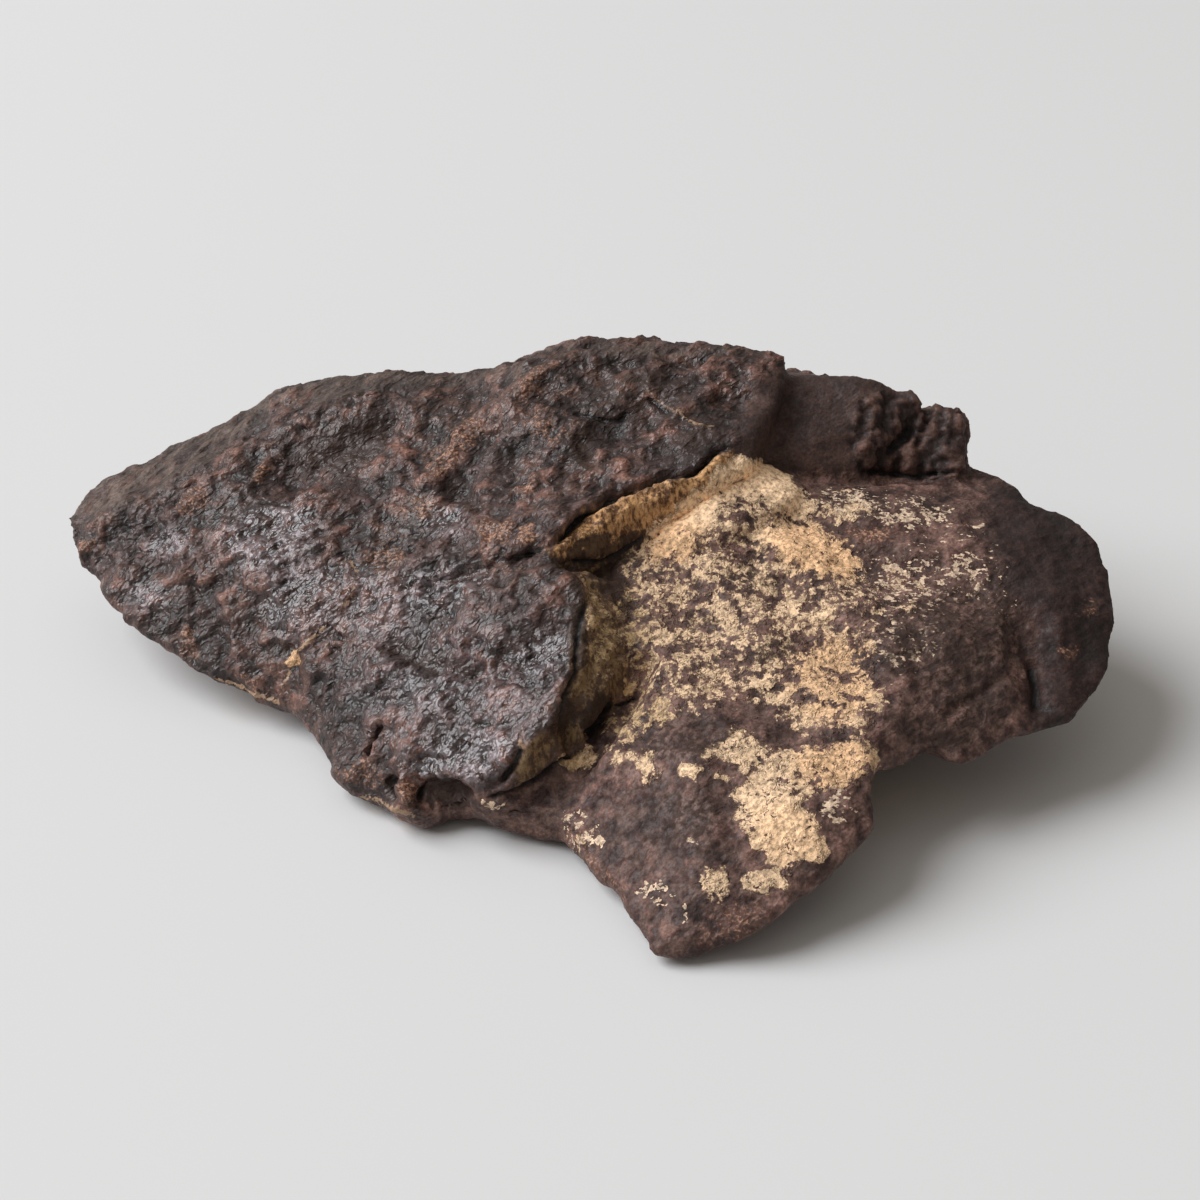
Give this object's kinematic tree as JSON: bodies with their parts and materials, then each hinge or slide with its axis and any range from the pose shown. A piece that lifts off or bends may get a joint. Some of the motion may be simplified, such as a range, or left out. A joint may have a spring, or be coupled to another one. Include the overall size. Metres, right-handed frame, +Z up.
{
  "type": "stony meteorite",
  "caption": "Flat, broken stony meteorite (chondrite): dark stepped crust above, tan mineral crust on the lower plate, resting on a small flat spot.",
  "frame": {"origin": "centre of the bounding box's bottom face, on the surface that the stone rests on", "axes": "+X along the stone's length towards its round end, +Y away from its front tip, +Z up"},
  "size_m": [0.066, 0.0472, 0.0185],
  "materials": {
    "stone": "rough, dark brown weathered crust with a tan mineral crust on the lower plate"
  },
  "bodies": {
    "root": {"stone": "stone"}
  },
  "joints": []
}
